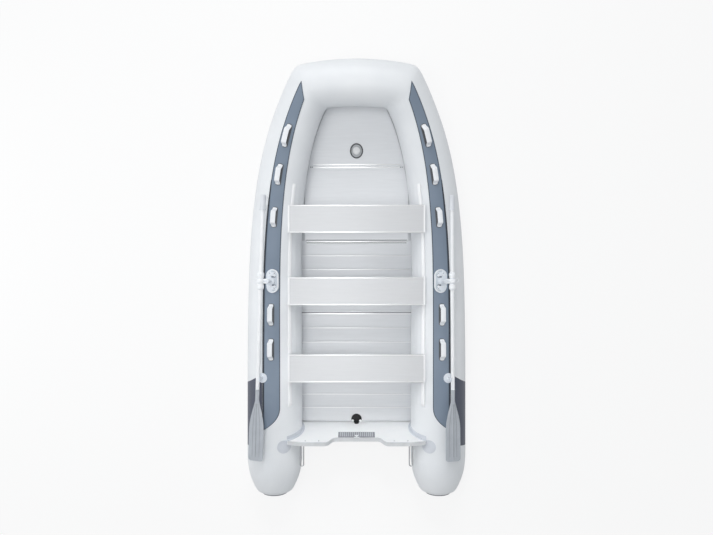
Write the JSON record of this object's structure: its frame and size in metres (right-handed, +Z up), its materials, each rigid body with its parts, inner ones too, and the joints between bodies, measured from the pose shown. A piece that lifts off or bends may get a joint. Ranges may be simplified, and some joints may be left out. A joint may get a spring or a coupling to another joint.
{
  "type": "inflatable boat",
  "caption": "Blunt-bowed inflatable boat with a plank floor, benches, a raked transom and stowed oars in swivelling oarlocks.",
  "frame": {"origin": "on the ground under the middle of the overall length and beam", "axes": "+X starboard, +Y towards the bow, +Z up"},
  "size_m": [1.7998, 3.52, 0.6724],
  "materials": {
    "tube_skin": "satin coated fabric",
    "cone_cap": "satin moulded plastic",
    "band": "matt coated fabric",
    "side_patch": "matt coated fabric",
    "strake": "matt rubber",
    "bottom_skin": "matt coated fabric",
    "floor_metal": "brushed anodised",
    "valve_plastic": "satin",
    "transom_board": "painted board",
    "transom_trim": "satin moulding",
    "motor_plate": "ribbed moulding",
    "drain": "satin black",
    "steel": "polished steel",
    "bench": "satin anodised",
    "bench_trim": "satin moulding",
    "handle": "soft moulding",
    "oar_shaft": "white coated tube",
    "oar_grip": "satin grip",
    "oar_blade": "grey moulding",
    "oarlock": "satin moulding"
  },
  "bodies": {
    "hull": {"bench_aft": "bench", "bench_ends": "bench_trim", "bench_forward": "bench", "bench_middle": "bench", "bench_rails": "bench_trim", "cone_caps": "cone_cap", "cone_port": "tube_skin", "cone_starboard": "tube_skin", "crown_band_port": "band", "crown_band_starboard": "band", "drain_plug": "drain", "floor_bow_board": "floor_metal", "floor_forward_board": "floor_metal", "floor_joiners": "floor_metal", "floor_planks": "floor_metal", "floor_stringers": "floor_metal", "grab_handles_port": "handle", "grab_handles_starboard": "handle", "hull_bottom": "bottom_skin", "keel_valve": "valve_plastic", "motor_plate_inner": "motor_plate", "motor_plate_outer": "motor_plate", "oar_clips": "oarlock", "oarlock_bases": "oarlock", "rub_strake_bow": "strake", "rub_strake_port": "strake", "rub_strake_starboard": "strake", "side_patches": "side_patch", "stern_eyes": "steel", "tow_ring": "steel", "tow_ring_patch": "strake", "transom": "transom_board", "transom_edge_cap": "transom_trim", "transom_holders": "transom_trim", "tube_aft_port": "tube_skin", "tube_aft_starboard": "tube_skin", "tube_bow": "tube_skin", "tube_forward_port": "tube_skin", "tube_forward_starboard": "tube_skin", "tube_valves": "valve_plastic", "valve_opening_rim": "valve_plastic"},
    "oarlock_port": {"oarlock_swivel_port": "oarlock", "oarlock_collar_port": "oarlock"},
    "oar_port": {"oar_shaft_port": "oar_shaft", "oar_grip_port": "oar_grip", "oar_blade_port": "oar_blade"},
    "oarlock_starboard": {"oarlock_swivel_starboard": "oarlock", "oarlock_collar_starboard": "oarlock"},
    "oar_starboard": {"oar_shaft_starboard": "oar_shaft", "oar_grip_starboard": "oar_grip", "oar_blade_starboard": "oar_blade"}
  },
  "joints": [
    {"name": "oar_sweep_port", "type": "hinge", "parent": "hull", "child": "oarlock_port", "pos_m": [-0.66537, 0.01695, 0.43896], "axis": [0.2756, 0, -0.9613], "range_deg": [0, 120]},
    {"name": "oar_feather_port", "type": "hinge", "parent": "oarlock_port", "child": "oar_port", "pos_m": [-0.7492, 0.0189, 0.50647], "axis": [0.0302, 0.9995, 0.0087], "range_deg": [0, 90]},
    {"name": "oar_sweep_starboard", "type": "hinge", "parent": "hull", "child": "oarlock_starboard", "pos_m": [0.66537, 0.01695, 0.43896], "axis": [0.2756, 0, 0.9613], "range_deg": [0, 120]},
    {"name": "oar_feather_starboard", "type": "hinge", "parent": "oarlock_starboard", "child": "oar_starboard", "pos_m": [0.74923, 0.01728, 0.50646], "axis": [-0.005, 1, 0.0014], "range_deg": [0, 90]}
  ]
}
